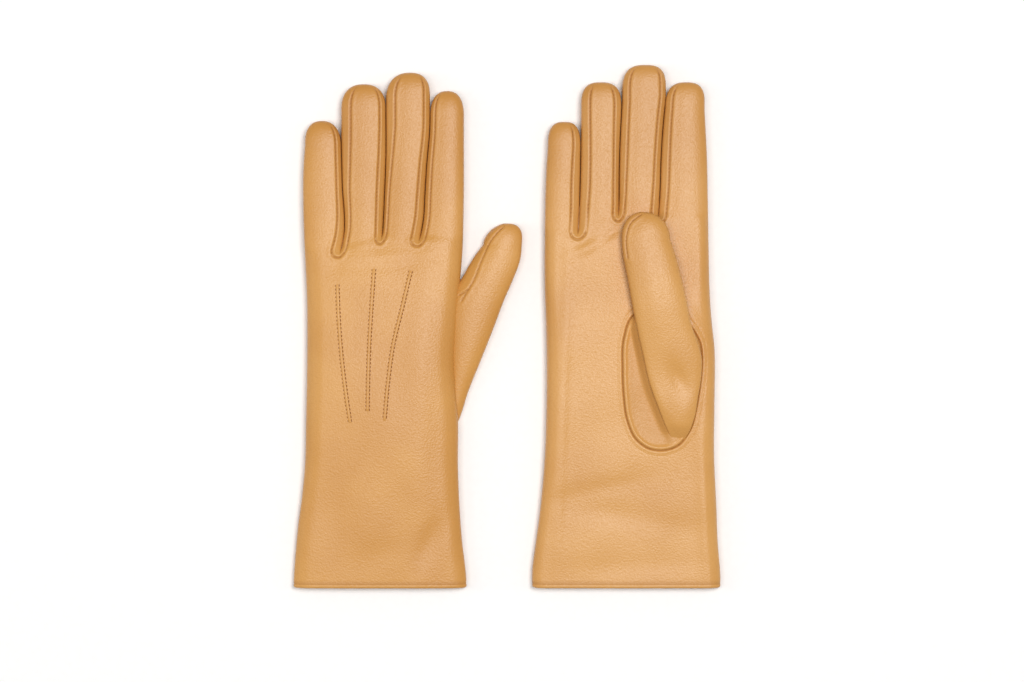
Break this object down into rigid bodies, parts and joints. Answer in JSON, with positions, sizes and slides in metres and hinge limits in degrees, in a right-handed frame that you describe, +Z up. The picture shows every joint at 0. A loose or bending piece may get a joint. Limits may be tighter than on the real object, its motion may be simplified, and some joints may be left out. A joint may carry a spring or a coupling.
{
  "type": "pair of leather gloves",
  "caption": "Pair of long lined leather dress gloves laid flat, one back up with raised stitched points, one palm up with a folded thumb, with bending fingers and thumbs.",
  "frame": {"origin": "middle of the pair's box, on the surface that it lies on", "axes": "+Y from the cuffs to the fingertips, +Z up, +X from the left-hand glove to the right-hand one"},
  "size_m": [0.2216, 0.271, 0.0243],
  "materials": {
    "leather": "smooth tan lambskin nappa with a soft sheen",
    "fourchette": "smooth tan lambskin nappa, the strips between the fingers",
    "lining": "fine knitted lining",
    "thread": "twisted sewing thread, darker tan"
  },
  "bodies": {
    "left_hand": {"left_trank": "leather", "left_hem": "leather", "left_hand_lining": "lining", "left_point_outer": "leather", "left_point_middle": "leather", "left_point_inner": "leather", "left_point_thread": "thread"},
    "left_thumb_tip": {"left_thumb": "leather", "left_thumb_lining": "lining"},
    "left_little": {"left_little_stall": "leather", "left_little_fourchette": "fourchette", "left_little_lining": "lining"},
    "left_ring": {"left_ring_stall": "leather", "left_ring_fourchette_outer": "fourchette", "left_ring_fourchette_inner": "fourchette", "left_ring_lining": "lining"},
    "left_middle": {"left_middle_stall": "leather", "left_middle_fourchette_outer": "fourchette", "left_middle_fourchette_inner": "fourchette", "left_middle_lining": "lining"},
    "left_index": {"left_index_stall": "leather", "left_index_fourchette": "fourchette", "left_index_lining": "lining"},
    "right_hand": {"right_trank": "leather", "right_hem": "leather", "right_thumb_root": "leather", "right_hand_lining": "lining", "right_point_outer": "leather", "right_point_middle": "leather", "right_point_inner": "leather", "right_point_thread": "thread"},
    "right_thumb_tip": {"right_thumb": "leather", "right_thumb_lining": "lining"},
    "right_little": {"right_little_stall": "leather", "right_little_fourchette": "fourchette", "right_little_lining": "lining"},
    "right_ring": {"right_ring_stall": "leather", "right_ring_fourchette_outer": "fourchette", "right_ring_fourchette_inner": "fourchette", "right_ring_lining": "lining"},
    "right_middle": {"right_middle_stall": "leather", "right_middle_fourchette_outer": "fourchette", "right_middle_fourchette_inner": "fourchette", "right_middle_lining": "lining"},
    "right_index": {"right_index_stall": "leather", "right_index_fourchette": "fourchette", "right_index_lining": "lining"}
  },
  "joints": [
    {"name": "right_glove_lift", "type": "slide", "parent": "left_hand", "child": "right_hand", "axis": [0, 0, 1], "range_m": [0, 0.06]},
    {"name": "left_little_fold", "type": "hinge", "parent": "left_hand", "child": "left_little", "pos_m": [-0.0948, 0.046, 0.0132], "axis": [1, 0, 0], "range_deg": [0, 75]},
    {"name": "left_ring_fold", "type": "hinge", "parent": "left_hand", "child": "left_ring", "pos_m": [-0.0745, 0.046, 0.0132], "axis": [1, 0, 0], "range_deg": [0, 75]},
    {"name": "left_middle_fold", "type": "hinge", "parent": "left_hand", "child": "left_middle", "pos_m": [-0.0545, 0.046, 0.0132], "axis": [1, 0, 0], "range_deg": [0, 75]},
    {"name": "left_index_fold", "type": "hinge", "parent": "left_hand", "child": "left_index", "pos_m": [-0.0337, 0.046, 0.0132], "axis": [1, 0, 0], "range_deg": [0, 75]},
    {"name": "right_little_fold", "type": "hinge", "parent": "right_hand", "child": "right_little", "pos_m": [0.0284, 0.062, 0.0132], "axis": [1, 0, 0], "range_deg": [0, 75]},
    {"name": "right_ring_fold", "type": "hinge", "parent": "right_hand", "child": "right_ring", "pos_m": [0.0474, 0.062, 0.0132], "axis": [1, 0, 0], "range_deg": [0, 75]},
    {"name": "right_middle_fold", "type": "hinge", "parent": "right_hand", "child": "right_middle", "pos_m": [0.0681, 0.062, 0.0132], "axis": [1, 0, 0], "range_deg": [0, 75]},
    {"name": "right_index_fold", "type": "hinge", "parent": "right_hand", "child": "right_index", "pos_m": [0.0912, 0.062, 0.0132], "axis": [1, 0, 0], "range_deg": [0, 75]},
    {"name": "left_thumb_fold", "type": "hinge", "parent": "left_hand", "child": "left_thumb_tip", "pos_m": [-0.0307, -0.016, 0.0127], "axis": [0, -1, 0], "range_deg": [0, 70]},
    {"name": "right_thumb_fold", "type": "hinge", "parent": "right_hand", "child": "right_thumb_tip", "pos_m": [0.0785, 0.01265, 0.0246], "axis": [0.9803, 0.1975, 0], "range_deg": [0, 70]}
  ]
}
